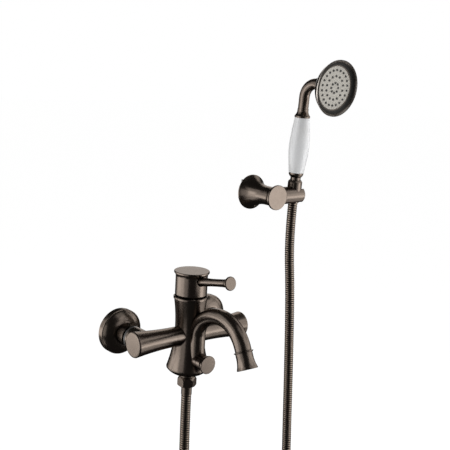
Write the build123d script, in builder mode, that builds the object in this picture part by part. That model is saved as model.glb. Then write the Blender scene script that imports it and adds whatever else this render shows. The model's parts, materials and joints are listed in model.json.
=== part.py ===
"""Wall-mounted bath mixer: lever mixer, gooseneck spout, pull diverter, hand shower and its wall holder.

Millimetres. The origin lies on the wall, midway between the two inlets: +X to the right along the wall,
+Y into the wall (the room is on the -Y side), +Z up. Threads are drawn as plain cylinders.
"""
import os
from math import acos, cos, degrees, hypot, radians, sin, tan

from build123d import *

os.makedirs("parts", exist_ok=True)

# Gaps between pieces
thread_gap = 0.1
running_gap = 0.05
seat_gap = 0.2
clear_gap = 0.4

# Mixer body: radii from the column's axis, heights from the arms' axis, reaches from the wall
inlet_spacing = 150.0
body_reach = 63.0
lip_top_z = 55.0
lip_radius = 23.8
lip_height = 3.2
lip_edge = 0.8
column_top_radius = 22.8
waist_z = 14.0
waist_radius = 19.9
foot_z = -46.0
foot_radius = 29.7
foot_rim = 1.6
dome_bottom_z = -57.3
dome_bottom_radius = 12.6
dome_bulge = 2.0
cup_radius = 22.2
cup_depth = 4.5
arm_end_x = 93.4
arm_root_x = 30.0
arm_middle_x = 64.0
arm_root_radius = 13.5
arm_middle_radius = 14.9
arm_end_radius = 17.7
arm_end_round = 2.4
boss_root_radius = 14.4
boss_radius = 15.4
boss_flare = 13.0
boss_face = 23.4
tail_radius = 9.8
tail_length = 10.6
collar_radius = 11.6
collar_thickness = 2.6
waterway_radius = 6.5
nipple_radius = 10.4
nipple_length = 11.2
nipple_bore = 7.0
nipple_bore_top_z = -43.0

# Wall unions, their nuts, trim rings and flanges
trim_ring_radius = 15.2
trim_ring_thickness = 3.6
inlet_nut_front_radius = 15.0
inlet_nut_back_radius = 14.7
inlet_nut_length = 17.6
inlet_nut_groove_radius = 12.6
inlet_nut_groove = 4.0
inlet_washer_thickness = 2.0
union_thread_radius = 13.1
union_back = 12.0
union_web_back = 4.0
union_bore = 8.0
union_offset = 8.0
union_tail_radius = 10.4
union_tail_bore = 6.5
union_tail_depth = 14.0
union_relief_radius = 9.6
union_relief_depth = 1.5
flange_radius = 31.6
flange_rim = 7.4
flange_rim_round = 1.2
flange_hub_radius = 14.5
flange_dome_bulge = (1.2, 1.6)
flange_wall = 1.8
flange_inner_step = (1.08, 1.44)

# Cartridge: a fixed and a moving disc in a clamped cup, with the turret that carries the spindle
chamber_radius = 17.6
chamber_floor_z = 8.0
chamber_step_z = 34.0
clamp_thread_radius = 18.4
cartridge_gap = 0.15
cartridge_foot_z = 9.0
disc_seat_z = 14.0
disc_chamber_radius = 14.0
disc_radius = 13.7
disc_height = 4.0
moving_disc_radius = 11.5
mixing_recess_radius = 8.2
mixing_recess_depth = 2.4
inlet_port_x = 9.5
inlet_port_radius = 3.2
outlet_port_forward = 5.0
outlet_port_radius = 3.0
base_seal_wall = 1.3
base_seal_height = 1.5
cover_bottom_z = 28.4
clamp_nut_top_z = 42.0
clamp_nut_bore = 11.0
clamp_slot_width = 4.0
clamp_slot_depth = 2.5
turret_radius = 6.0
pivot_z = 66.0
fork_rise = 4.2
fork_slot_drop = 5.0
tongue_thickness = 5.0
tongue_radius = 4.3
pin_radius = 1.5
spindle_width = 8.0
spindle_rise = 8.5
spindle_length = 8.5

# Handle cap and lever
cap_radius = 22.0
cap_foot_z = 58.0
cap_wall = 3.0
cap_top_z = 90.2
cap_roof = 3.8
cap_lip_radius = 24.3
cap_lip_height = 1.9
cap_lip_edge = 0.6
cap_cove_z = 82.8
cap_boss_radius = 8.6
cap_boss_rise = 7.0
cap_slot_half_width = 6.8
cap_slot_front = 7.2
cap_slot_back = 16.0
cap_slot_top_z = 57.0
pad_half_width = 8.0
pad_back = 7.0
pad_bottom_rise = 4.0
lever_rise = 11.3
lever_axis_z = 74.85
lever_root = 20.6
lever_end = 84.4
lever_radius = 6.1
lever_waist_radius = 5.25
lever_flare_start = 66.0
lever_flare_radius = 5.2
lever_end_radius = 9.3
lever_end_edge = 1.0
lever_root_slope = (-0.02, 1)
lever_end_slope = (1, 0.55)
lever_spigot_radius = 3.0
lever_spigot_length = 12.0
lever_recess_radius = 8.0
lever_recess_depth = 1.6
grub_radius = 2.0
grub_length = 6.0
grub_socket = 1.0
grub_rise = 13.0

# Spout: radius and turn of each bend; its root is one casting with the body up to the end of the first
spout_radius = 10.9
spout_bore = 7.6
spout_reach = 18.8
spout_rise_z = 4.0
spout_root_bend = (30.0, 48.0)
spout_bends = ((58.4, 42.0), (50.0, 65.0))
spout_end = 3.6
spout_spigot_radius = 8.9
spout_spigot_length = 4.0
spout_way_reach = 13.5
spout_way_front = 23.5
spout_way_radius = 4.2
spout_way_bend = 5.0
spout_way_z = (-18.0, -8.0)
mouth_spigot_radius = 8.9
mouth_spigot_length = 5.0
mouth_collar_radius = 12.1
mouth_collar = 1.8
mouth_waist_radius = 11.3
mouth_waist = 8.0
mouth_radius = 13.9
mouth_length = 23.6
mouth_edge = 0.6
mouth_bore = 10.6
insert_length = 12.0
insert_recess = 1.2
insert_flange = 1.6
insert_hole_radius = 0.9
insert_ring_radii = (3.4, 6.8)
insert_ring_holes = (6, 12)
aerator_washer_thickness = 1.6

# Diverter, on an axis that points straight out of the column's foot
diverter_z = -31.7
diverter_boss_radius = 11.3
diverter_boss_front = 30.6
gland_radius = 10.9
gland_front = 39.0
gland_edge = 0.8
gland_thread_radius = 8.4
gland_thread_end = 17.6
diverter_bore = 7.0
diverter_back = 8.0
nipple_way_back = 3.6
nipple_way_radius = 3.0
diverter_stem_radius = 3.0
valve_radius = 6.6
valve_thickness = 3.4
valve_back = 1.0
valve_seal_depth = 1.4
valve_seal_width = 1.5
knob_face = 45.1
knob_radius = 12.7
knob_edge = 0.7
knob_rim = 1.2
knob_neck_radius = 9.8
knob_socket_end = 43.4

# Lower hose fitting
hose_nut_flats = 23.5
hose_nut_height = 16.6
hose_nut_turn = 30.0
hose_nut_chamfer = 2.6
hose_nut_chamfer_angle = 50.0
hose_ferrule_radius = 7.5
hose_ferrule_end_z = -87.8
hose_flange_radius = 9.9
hose_flange_thickness = 1.5
hose_washer_thickness = 1.9

# Hose: its ribs, and its route by hand from the lower fitting to the hand shower (y from the wall)
hose_radius = 7.2
hose_valley_radius = 6.4
hose_bore = 4.5
hose_rib_count = 96
hose_points = (
    (0.0, -63.0, -150.0), (2.5, -63.5, -235.0), (7.0, -61.0, -335.0), (22.0, -59.0, -443.0),
    (66.0, -56.0, -515.0), (122.0, -53.0, -534.0), (178.0, -50.0, -506.0), (216.0, -48.0, -433.0),
    (228.0, -46.0, -325.0), (221.5, -46.0, -215.0), (213.0, -45.5, -95.0), (204.5, -43.5, 25.0),
)
hose_last_run = 55.0

# Wall holder: reaches from the wall
holder_x = 155.15
holder_z = 179.6
bell_radius = 26.0
bell_rim = 1.8
bell_neck_radius = 14.0
bell_neck_reach = 34.0
bell_front = 47.0
bell_wall = 2.2
wall_plate_radius = 19.5
wall_plate_thickness = 4.0
wall_hub_radius = 9.0
wall_hub_reach = 18.0
wall_screw_spacing = 27.0
wall_screw_radius = 2.2
wall_screw_head_radius = 4.2
wall_screw_head = 2.6
wall_screw_neck_radius = 2.0
wall_screw_neck = 1.0
wall_screw_depth = 22.0
holder_grub_reach = 11.0
holder_grub_length = 8.0
holder_disc_radius = 18.4
holder_disc_edge = 1.4
holder_disc_depth = 12.0
holder_stud_radius = 5.0
holder_stud_length = 9.0
bar_reach = 46.0
bar_radius = 12.9
bar_end_x = 211.8
bar_end_round = 1.4
bar_tenon_reach = 41.0
bar_tenon_radius = 4.6
bar_tenon_length = 5.4
cradle_x = 199.5
cradle_slot = 16.0

# Hand shower: heights up its own leaning handle from the middle of the cradle
handle_lean = 3.3
cone_foot = -11.6
cone_shoulder = 8.0
cone_top = 22.3
cone_radius = 10.65
cone_foot_radius = 8.4
cone_top_edge = 1.6
cone_top_slope = 2.4
cone_gap = 0.1
upper_ferrule_radius = 7.3
upper_ferrule_foot = -12.6
upper_flange_top = 3.4
upper_flange_radius = 8.1
upper_flange_thickness = 1.5
handset_thread_radius = 8.3
handset_thread_top = 19.5
handset_bore = 5.0
handset_neck_radius = 7.7
handset_neck_top = 27.0
lower_ferrule_radius = 10.95
lower_ferrule_rim = 2.2
lower_ferrule_curve = (9.6, 28.9)
grip_foot = 34.0
grip_top = 116.0
grip_bore = 7.6
grip_foot_radius = 11.1
grip_outline = ((44.1, 12.5), (58.8, 14.3), (71.2, 15.0), (82.7, 14.6), (97.5, 13.4), (108.5, 11.9))
grip_top_radius = 11.1
core_radius = 6.5
core_foot = 24.0
core_top = 124.0
top_ferrule_radius = 11.5
top_ferrule_rim = 2.2
top_ferrule_slope_top = 126.4
top_ferrule_neck_radius = 8.15
top_ferrule_top = 129.0
neck_radius = 7.7
neck_bore = 5.0
neck_bend_start = 145.6
neck_bend_radius = 22.0
neck_to_plate = 35.2

# Shower head: depths ahead of the face plate's front
head_tilt = 5.3
head_rim_radius = 39.9
head_rim_ahead = 6.5
head_rim_width = 2.4
head_rim_lip = 1.3
head_rim_edge = 0.6
head_band_curve = (34.9, 2.2)
head_outline = ((-8.0, 31.0), (0.0, 37.5))
head_hub_radius = 9.0
head_hub_behind = 34.5
head_hub_straight = 2.0
neck_end_behind = 28.0
head_wall = 2.2
head_shelf = 2.2
head_shoulder_slope = (-0.55, -1)
plate_radius = 30.5
plate_thickness = 3.0
mat_thickness = 1.2
nozzle_radius = 1.5
nozzle_proud = 0.8
nozzle_ring_radii = (7.0, 16.5, 25.0)
nozzle_ring_counts = (8, 14, 22)
nozzle_ring_start = 90.0


def section_plane(origin, direction, across=(1, 0, 0)):
    """The plane for a half section: radii run along its x, heights along the given direction."""
    return Plane(origin=origin, x_dir=across, z_dir=Vector(*across).cross(Vector(*direction)))


def spin(plane):
    """The axis that a half section in this plane is turned about."""
    return Axis(plane.origin, plane.y_dir)


def outline(plane, *points):
    """A closed face with straight sides."""
    with BuildSketch(plane) as sketch:
        with BuildLine():
            Polyline(*points, close=True)
        make_face()
    return sketch.sketch


def ring(plane, inner, outer, low, high):
    """The half section of a plain ring or pin."""
    return outline(plane, (inner, low), (outer, low), (outer, high), (inner, high))


def turn_ring(plane, inner, outer, low, high, mode=Mode.ADD):
    """Adds or cuts a plain ring or pin about a half section's axis."""
    revolve(ring(plane, inner, outer, low, high), axis=spin(plane), mode=mode)


def save(piece, name):
    piece.part.label = name
    export_step(piece.part, f"parts/{name}.step")


# Axes and planes that the pieces share
body_y = -body_reach
inlet_x = inlet_spacing / 2
column_section = section_plane((0, body_y, 0), (0, 0, 1))
diverter_section = section_plane((0, body_y, diverter_z), (0, -1, 0))
lever_section = section_plane((0, body_y, lever_axis_z), (0, -cos(radians(lever_rise)),
                                                          sin(radians(lever_rise))))
holder_section = section_plane((holder_x, 0, holder_z), (0, -1, 0))
handle_axis = Vector(0, -sin(radians(handle_lean)), cos(radians(handle_lean)))
handle_section = section_plane((cradle_x, -bar_reach, holder_z), handle_axis)
handle_face = Plane(origin=handle_section.origin, x_dir=(1, 0, 0), z_dir=handle_axis)
side_plane = Plane(origin=(0, body_y, 0), x_dir=(0, -1, 0), z_dir=(-1, 0, 0))
bar_section = section_plane((holder_x, -bar_reach, holder_z), (1, 0, 0), across=(0, 0, 1))
tenon_section = section_plane((holder_x, -bar_tenon_reach, holder_z), (1, 0, 0), across=(0, 0, 1))
bar_root = bell_neck_radius
holder_reach = bell_front + holder_disc_depth

# Neck of the hand shower: up the handle, forwards through the bend and on to the head
neck_foot = handle_section.origin + handle_axis * (core_top + seat_gap)
neck_face = Plane(origin=neck_foot, x_dir=(1, 0, 0), z_dir=handle_axis)
with BuildLine(Plane(origin=handle_section.origin, x_dir=(0, -1, 0), z_dir=(-1, 0, 0))) as neck_path:
    neck_rise = Line(neck_foot, handle_section.origin + handle_axis * neck_bend_start)
    neck_bend = JernArc(neck_rise @ 1, handle_axis, neck_bend_radius, handle_lean - head_tilt - 90)
    Line(neck_bend @ 1, neck_bend @ 1 + (neck_to_plate - neck_end_behind) * (neck_bend % 1))
head_axis = neck_bend % 1
head_section = section_plane(neck_bend @ 1 + neck_to_plate * head_axis, head_axis)
head_face = Plane(origin=head_section.origin, x_dir=(1, 0, 0), z_dir=head_axis)

# Column: the outer form of the mixer body
with BuildPart() as column:
    with BuildSketch(column_section):
        with BuildLine():
            ring_z = lip_top_z - lip_height
            flare_top = (column_top_radius, ring_z - lip_edge)
            Polyline((dome_bottom_radius, dome_bottom_z), (0, dome_bottom_z), (0, lip_top_z),
                     (lip_radius - lip_edge, lip_top_z), (lip_radius, lip_top_z - lip_edge),
                     (lip_radius, ring_z), flare_top)
            TangentArc((waist_radius, waist_z), flare_top, tangent=(0, 1))
            TangentArc((waist_radius, waist_z), (foot_radius, foot_z), tangent=(0, -1))
            Line((foot_radius, foot_z), (foot_radius, foot_z - foot_rim))
            dome_middle = (0.5 * (foot_radius + dome_bottom_radius) + 0.5 * dome_bulge,
                           0.5 * (foot_z - foot_rim + dome_bottom_z) - dome_bulge)
            ThreePointArc((foot_radius, foot_z - foot_rim), dome_middle, (dome_bottom_radius, dome_bottom_z))
        make_face()
    revolve(axis=spin(column_section))

# Centre lines of the spout's root, of the waterway inside it and of the spout itself
with BuildLine(side_plane) as root_path:
    root_rise = Line((spout_reach, diverter_z), (spout_reach, spout_rise_z))
    root_bend = JernArc(root_rise @ 1, root_rise % 1, spout_root_bend[0], -spout_root_bend[1])
with BuildLine(side_plane) as way_path:
    way_rise = FilletPolyline((spout_way_reach, diverter_z), (spout_way_reach, spout_way_z[0]),
                              (spout_way_front, spout_way_z[1]), (spout_way_front, spout_rise_z),
                              radius=spout_way_bend)
    way_bend = spout_root_bend[0] + spout_reach - spout_way_front
    JernArc(way_rise @ 1, way_rise % 1, way_bend, -spout_root_bend[1])
with BuildLine(side_plane) as spout_path:
    last = root_bend
    for bend_radius, bend_turn in spout_bends:
        last = JernArc(last @ 1, last % 1, bend_radius, -bend_turn)
    last = Line(last @ 1, last @ 1 + spout_end * (last % 1))
joint_section = section_plane(root_bend @ 1, root_bend % 1)
mouth_section = section_plane(last @ 1, last % 1)

# Mixer body: column, two arms with their inlet bosses and tails, spout stub, nipple and waterways
tail_end = boss_face + tail_length
nipple_end_z = dome_bottom_z - nipple_length
cup_floor_z = lip_top_z - cup_depth
with BuildPart() as mixer_body:
    add(column.part)
    for side in (-1, 1):
        arm_section = section_plane((0, body_y, 0), (side, 0, 0), across=(0, 0, 1))
        with BuildSketch(arm_section):
            with BuildLine():
                round_x = arm_end_x - arm_end_round
                Line((arm_root_radius, 0), (arm_root_radius, arm_root_x))
                ThreePointArc((arm_root_radius, arm_root_x), (arm_middle_radius, arm_middle_x),
                              (arm_end_radius, round_x))
                CenterArc((arm_end_radius - arm_end_round, round_x), arm_end_round, 0, 90)
                Polyline((arm_end_radius - arm_end_round, arm_end_x), (0, arm_end_x), (0, 0),
                         (arm_root_radius, 0))
            make_face()
        revolve(axis=spin(arm_section))
        boss_section = section_plane((side * inlet_x, body_y, 0), (0, 1, 0))
        with BuildSketch(boss_section):
            with BuildLine():
                Polyline((boss_radius, boss_flare), (boss_radius, boss_face), (0, boss_face), (0, 0),
                         (boss_root_radius, 0))
                TangentArc((boss_radius, boss_flare), (boss_root_radius, 0), tangent=(0, -1))
            make_face()
        revolve(axis=spin(boss_section))
        turn_ring(boss_section, 0, tail_radius, 0, tail_end)
        collar = ring(boss_section, 0, collar_radius, tail_end - collar_thickness, tail_end)
        revolve(collar, axis=spin(boss_section))
    with BuildSketch(Plane(origin=root_path.wire() @ 0, z_dir=(0, 0, 1))):
        Circle(spout_radius)
    sweep(path=root_path.wire())
    turn_ring(diverter_section, 0, diverter_boss_radius, 0, diverter_boss_front)
    turn_ring(column_section, 0, nipple_radius, nipple_end_z, dome_bottom_z)
    # Cup, cartridge chamber and the three ports in its floor
    with BuildSketch(column_section):
        with BuildLine():
            Polyline((0, chamber_floor_z), (chamber_radius, chamber_floor_z), (chamber_radius,
                                                                               chamber_step_z),
                     (clamp_thread_radius, chamber_step_z), (clamp_thread_radius, cup_floor_z),
                     (cup_radius, lip_top_z), (0, lip_top_z), close=True)
        make_face()
    revolve(axis=spin(column_section), mode=Mode.SUBTRACT)
    for side in (-1, 1):
        boss_section = section_plane((side * inlet_x, body_y, 0), (0, 1, 0))
        turn_ring(boss_section, 0, waterway_radius, 0, tail_end, mode=Mode.SUBTRACT)
        arm_section = section_plane((0, body_y, 0), (side, 0, 0), across=(0, 0, 1))
        waterway = ring(arm_section, 0, waterway_radius, inlet_port_x - inlet_port_radius, inlet_x)
        revolve(waterway, axis=spin(arm_section), mode=Mode.SUBTRACT)
    with BuildSketch(Plane.XY.offset(chamber_floor_z)):
        with Locations((-inlet_port_x, body_y), (inlet_port_x, body_y)):
            Circle(inlet_port_radius)
    extrude(amount=-chamber_floor_z, mode=Mode.SUBTRACT)
    with BuildSketch(Plane.XY.offset(chamber_floor_z)):
        with Locations((0, body_y - outlet_port_forward)):
            Circle(outlet_port_radius)
    extrude(amount=diverter_z - chamber_floor_z, mode=Mode.SUBTRACT)
    # Diverter chamber, spout socket and the way down to the hose
    gland_hole = outline(diverter_section, (0, -diverter_back), (diverter_bore, -diverter_back),
                         (diverter_bore, gland_thread_end - seat_gap),
                         (gland_thread_radius + thread_gap, gland_thread_end - seat_gap),
                         (gland_thread_radius + thread_gap, diverter_boss_front), (0, diverter_boss_front))
    revolve(gland_hole, axis=spin(diverter_section), mode=Mode.SUBTRACT)
    with BuildSketch(Plane(origin=way_path.wire() @ 0, z_dir=(0, 0, 1))):
        Circle(spout_way_radius)
    sweep(path=way_path.wire(), mode=Mode.SUBTRACT)
    socket = ring(joint_section, 0, spout_spigot_radius + running_gap, -spout_spigot_length - seat_gap, 0)
    revolve(socket, axis=spin(joint_section), mode=Mode.SUBTRACT)
    turn_ring(column_section, 0, nipple_bore, nipple_end_z, nipple_bore_top_z, mode=Mode.SUBTRACT)
    with BuildSketch(Plane.XY.offset(nipple_bore_top_z)):
        with Locations((0, body_y + nipple_way_back)):
            Circle(nipple_way_radius)
    extrude(amount=diverter_z - nipple_bore_top_z, mode=Mode.SUBTRACT)
save(mixer_body, "mixer_body")


def inlet_pieces(side, name):
    """Everything between one inlet boss and the wall, measured by its reach from the wall."""
    section = section_plane((side * inlet_x, 0, 0), (0, -1, 0))
    boss_reach = body_reach - boss_face
    ring_reach = boss_reach - trim_ring_thickness
    tail_reach = body_reach - tail_end
    union_front = tail_reach - inlet_washer_thickness
    nut_back = ring_reach - inlet_nut_length
    hole = union_thread_radius + thread_gap

    with BuildPart() as trim_ring:
        turn_ring(section, tail_radius + seat_gap, trim_ring_radius, ring_reach, boss_reach)
    save(trim_ring, f"inlet_ring_{name}")

    with BuildPart() as nut:
        shoulder = tail_reach + collar_thickness + running_gap
        groove_back = ring_reach - inlet_nut_groove
        profile = outline(section, (hole, nut_back), (inlet_nut_back_radius, nut_back),
                          (inlet_nut_front_radius, groove_back), (inlet_nut_groove_radius, groove_back),
                          (inlet_nut_groove_radius, ring_reach), (tail_radius + seat_gap, ring_reach),
                          (tail_radius + seat_gap, shoulder), (hole, shoulder))
        revolve(profile, axis=spin(section))
    save(nut, f"inlet_nut_{name}")

    with BuildPart() as washer:
        turn_ring(section, union_bore, collar_radius, union_front, tail_reach)
    save(washer, f"inlet_washer_{name}")

    wall_face = Plane(origin=(side * inlet_x, 0, 0), x_dir=(1, 0, 0), z_dir=(0, -1, 0))
    with BuildPart() as union:
        with BuildSketch(wall_face.offset(union_web_back)):
            Circle(union_thread_radius)
            with Locations((0, union_offset)):
                Circle(union_tail_radius)
            make_hull()
        extrude(amount=union_back - union_web_back)
        with BuildSketch(wall_face.offset(union_back)):
            Circle(union_thread_radius)
        extrude(amount=union_front - union_back)
        with BuildSketch(wall_face.offset(-union_tail_depth)):
            with Locations((0, union_offset)):
                Circle(union_tail_radius)
        extrude(amount=union_tail_depth - union_relief_depth)
        with BuildSketch(wall_face.offset(-union_relief_depth)):
            with Locations((0, union_offset)):
                Circle(union_relief_radius)
        extrude(amount=union_relief_depth + union_web_back)
        bore_overlap = 0.5 * (union_web_back + union_back)
        with BuildSketch(wall_face.offset(bore_overlap - flange_wall)):
            Circle(union_bore)
        extrude(amount=union_front, mode=Mode.SUBTRACT)
        with BuildSketch(wall_face.offset(-union_tail_depth)):
            with Locations((0, union_offset)):
                Circle(union_tail_bore)
        extrude(amount=union_tail_depth + bore_overlap + flange_wall, mode=Mode.SUBTRACT)
    save(union, f"wall_union_{name}")

    hub_reach = nut_back - seat_gap
    dome_foot = (flange_radius - flange_rim_round, flange_rim + flange_rim_round)
    dome_middle = (0.5 * (dome_foot[0] + flange_hub_radius) + flange_dome_bulge[0],
                   0.5 * (dome_foot[1] + hub_reach) + flange_dome_bulge[1])
    inner_middle = (dome_middle[0] - flange_inner_step[0], dome_middle[1] - flange_inner_step[1])
    with BuildPart() as flange:
        with BuildSketch(section):
            with BuildLine():
                Line((flange_radius, 0), (flange_radius, flange_rim))
                CenterArc((flange_radius - flange_rim_round, flange_rim), flange_rim_round, 0, 90)
                ThreePointArc(dome_foot, dome_middle, (flange_hub_radius, hub_reach))
                Polyline((flange_hub_radius, hub_reach), (hole, hub_reach), (hole, hub_reach - flange_wall),
                         (flange_hub_radius, hub_reach - flange_wall))
                ThreePointArc((flange_hub_radius, hub_reach - flange_wall), inner_middle,
                              (dome_foot[0] - flange_wall, dome_foot[1] - flange_wall))
                Polyline((dome_foot[0] - flange_wall, dome_foot[1] - flange_wall),
                         (dome_foot[0] - flange_wall, 0),
                         (flange_radius, 0))
            make_face()
        revolve(axis=spin(section))
    save(flange, f"wall_flange_{name}")


inlet_pieces(-1, "left")
inlet_pieces(1, "right")

# Cartridge: cup, seals, discs, cover and clamp nut stay; the carrier turns with the handle
cartridge_radius = chamber_radius - cartridge_gap
fixed_disc_top_z = disc_seat_z + disc_height
moving_disc_top_z = fixed_disc_top_z + running_gap + disc_height
carrier_top_z = cover_bottom_z - seat_gap
seal_top_z = chamber_floor_z + base_seal_height
port_places = ((-inlet_port_x, body_y), (inlet_port_x, body_y))
outlet_place = (0, body_y - outlet_port_forward)
with BuildPart() as cartridge_body:
    turn_ring(column_section, 0, cartridge_radius, cartridge_foot_z, cover_bottom_z)
    turn_ring(column_section, 0, disc_chamber_radius, disc_seat_z, cover_bottom_z, mode=Mode.SUBTRACT)
    with BuildSketch(Plane.XY.offset(cartridge_foot_z)):
        with Locations(*port_places):
            Circle(inlet_port_radius)
        with Locations(outlet_place):
            Circle(outlet_port_radius)
    extrude(amount=disc_seat_z - cartridge_foot_z, mode=Mode.SUBTRACT)
    with BuildSketch(Plane.XY.offset(cartridge_foot_z)):
        with Locations(*port_places):
            Circle(inlet_port_radius + base_seal_wall)
        with Locations(outlet_place):
            Circle(outlet_port_radius + base_seal_wall)
    extrude(amount=seal_top_z - cartridge_foot_z, mode=Mode.SUBTRACT)
save(cartridge_body, "cartridge_body")

with BuildPart() as base_seals:
    with BuildSketch(Plane.XY.offset(chamber_floor_z)):
        with Locations(*port_places):
            Circle(inlet_port_radius + base_seal_wall)
            Circle(inlet_port_radius, mode=Mode.SUBTRACT)
        with Locations(outlet_place):
            Circle(outlet_port_radius + base_seal_wall)
            Circle(outlet_port_radius, mode=Mode.SUBTRACT)
    extrude(amount=seal_top_z - chamber_floor_z)
save(base_seals, "cartridge_base_seals")

with BuildPart() as fixed_disc:
    with BuildSketch(Plane.XY.offset(disc_seat_z)):
        with Locations((0, body_y)):
            Circle(disc_radius)
        with Locations(*port_places):
            Circle(inlet_port_radius, mode=Mode.SUBTRACT)
        with Locations(outlet_place):
            Circle(outlet_port_radius, mode=Mode.SUBTRACT)
    extrude(amount=disc_height)
save(fixed_disc, "ceramic_disc_fixed")

with BuildPart() as moving_disc:
    with BuildSketch(Plane.XY.offset(fixed_disc_top_z + running_gap)):
        with Locations((0, body_y)):
            Circle(moving_disc_radius)
    extrude(amount=disc_height)
    with BuildSketch(Plane.XY.offset(fixed_disc_top_z + running_gap)):
        with Locations((0, body_y - outlet_port_radius / 2)):
            Circle(mixing_recess_radius)
    extrude(amount=mixing_recess_depth, mode=Mode.SUBTRACT)
save(moving_disc, "ceramic_disc_moving")

with BuildPart() as cartridge_cover:
    turn_ring(column_section, turret_radius + running_gap, cartridge_radius, cover_bottom_z, chamber_step_z)
save(cartridge_cover, "cartridge_cover")

with BuildPart() as clamp_nut:
    turn_ring(column_section, clamp_nut_bore, clamp_thread_radius - thread_gap, chamber_step_z,
              clamp_nut_top_z)
    with BuildSketch(Plane.XY.offset(clamp_nut_top_z)):
        with Locations((0, body_y)):
            Rectangle(2 * clamp_thread_radius, clamp_slot_width)
            Rectangle(clamp_slot_width, 2 * clamp_thread_radius)
    extrude(amount=-clamp_slot_depth, mode=Mode.SUBTRACT)
save(clamp_nut, "cartridge_clamp_nut")

pin_axis = section_plane((0, body_y, pivot_z), (1, 0, 0), across=(0, 0, 1))
with BuildPart() as carrier:
    profile = outline(column_section, (0, moving_disc_top_z), (disc_radius, moving_disc_top_z),
                      (disc_radius, carrier_top_z), (turret_radius, carrier_top_z),
                      (turret_radius, pivot_z + fork_rise), (0, pivot_z + fork_rise))
    revolve(profile, axis=spin(column_section))
    with BuildSketch(Plane.XY.offset(pivot_z - fork_slot_drop)):
        with Locations((0, body_y)):
            Rectangle(tongue_thickness + 2 * running_gap, 2 * turret_radius)
    extrude(amount=fork_slot_drop + fork_rise, mode=Mode.SUBTRACT)
    turn_ring(pin_axis, 0, pin_radius, -turret_radius, turret_radius, mode=Mode.SUBTRACT)
save(carrier, "cartridge_carrier")

with BuildPart() as pivot_pin:
    half_length = turret_radius - clear_gap
    turn_ring(pin_axis, 0, pin_radius, -half_length, half_length)
save(pivot_pin, "spindle_pin")

with BuildPart() as spindle:
    half_thickness = tongue_thickness / 2
    turn_ring(pin_axis, 0, tongue_radius, -half_thickness, half_thickness)
    with BuildSketch(Plane.XY.offset(pivot_z)):
        with Locations((0, body_y)):
            Rectangle(tongue_thickness, spindle_width)
    extrude(amount=spindle_rise)
    with BuildSketch(Plane.XY.offset(pivot_z + spindle_rise)):
        with Locations((0, body_y)):
            Rectangle(spindle_width, spindle_width)
    extrude(amount=spindle_length)
    turn_ring(pin_axis, 0, pin_radius + running_gap, -spindle_width, spindle_width, mode=Mode.SUBTRACT)
save(spindle, "cartridge_spindle")

# Handle cap: a cylinder with a spherical foot about the pivot, a flared top and a socket for the spindle
foot_sphere = hypot(cap_radius, pivot_z - cap_foot_z)
foot_angle = degrees(acos(cap_radius / foot_sphere))
pad_front = cap_radius - 0.75 * cap_wall
roof_z = cap_top_z - cap_roof
boss_foot_z = pivot_z + cap_boss_rise
socket_top_z = pivot_z + spindle_rise + spindle_length + seat_gap
grub_z = pivot_z + grub_rise
grub_section = section_plane((0, body_y, grub_z), (0, 1, 0))
with BuildPart() as handle_cap:
    with BuildSketch(column_section):
        with BuildLine():
            lip_z = cap_top_z - cap_lip_edge - cap_lip_height
            foot_arc = CenterArc((0, pivot_z), foot_sphere, -90, 90 - foot_angle)
            Line(foot_arc @ 1, (cap_radius, cap_cove_z))
            TangentArc((cap_radius, cap_cove_z), (cap_lip_radius, lip_z), tangent=(0, 1))
            Polyline((cap_lip_radius, lip_z), (cap_lip_radius, cap_top_z - cap_lip_edge),
                     (cap_lip_radius - cap_lip_edge, cap_top_z), (0, cap_top_z), foot_arc @ 0)
        make_face()
    revolve(axis=spin(column_section))
    with BuildSketch(column_section):
        with BuildLine():
            inner_radius = cap_radius - cap_wall
            inner_sphere = foot_sphere - cap_wall
            inner_angle = degrees(acos(inner_radius / inner_sphere))
            inner_arc = CenterArc((0, pivot_z), inner_sphere, -90, 90 - inner_angle)
            Polyline(inner_arc @ 1, (inner_radius, roof_z), (0, roof_z), inner_arc @ 0)
        make_face()
    revolve(axis=spin(column_section), mode=Mode.SUBTRACT)
    with BuildSketch(Plane.XY.offset(cap_slot_top_z)):
        with Locations((0, body_y + 0.5 * (cap_slot_back - cap_slot_front))):
            Rectangle(2 * cap_slot_half_width, cap_slot_front + cap_slot_back)
    extrude(amount=pivot_z - foot_sphere - cap_slot_top_z, mode=Mode.SUBTRACT)
    turn_ring(column_section, 0, cap_boss_radius, boss_foot_z, roof_z)
    with BuildSketch(Plane.XY.offset(pivot_z + pad_bottom_rise)):
        with Locations((0, body_y - 0.5 * (pad_back + pad_front))):
            Rectangle(2 * pad_half_width, pad_front - pad_back)
    extrude(amount=roof_z - pivot_z - pad_bottom_rise)
    with BuildSketch(Plane.XY.offset(boss_foot_z)):
        with Locations((0, body_y)):
            Rectangle(spindle_width + thread_gap, spindle_width + thread_gap)
    extrude(amount=socket_top_z - boss_foot_z, mode=Mode.SUBTRACT)
    spigot_end = lever_root - lever_spigot_length - seat_gap
    recess = outline(lever_section, (0, spigot_end), (lever_spigot_radius + running_gap, spigot_end),
                     (lever_spigot_radius + running_gap, lever_root), (lever_radius + seat_gap, lever_root),
                     (lever_recess_radius, lever_root + lever_recess_depth),
                     (lever_radius + clear_gap, lever_root + lever_recess_depth),
                     (lever_radius + clear_gap, cap_lip_radius), (0, cap_lip_radius))
    revolve(recess, axis=spin(lever_section), mode=Mode.SUBTRACT)
    turn_ring(grub_section, 0, grub_radius + running_gap, 0, cap_radius, mode=Mode.SUBTRACT)
save(handle_cap, "handle_cap")

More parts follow.
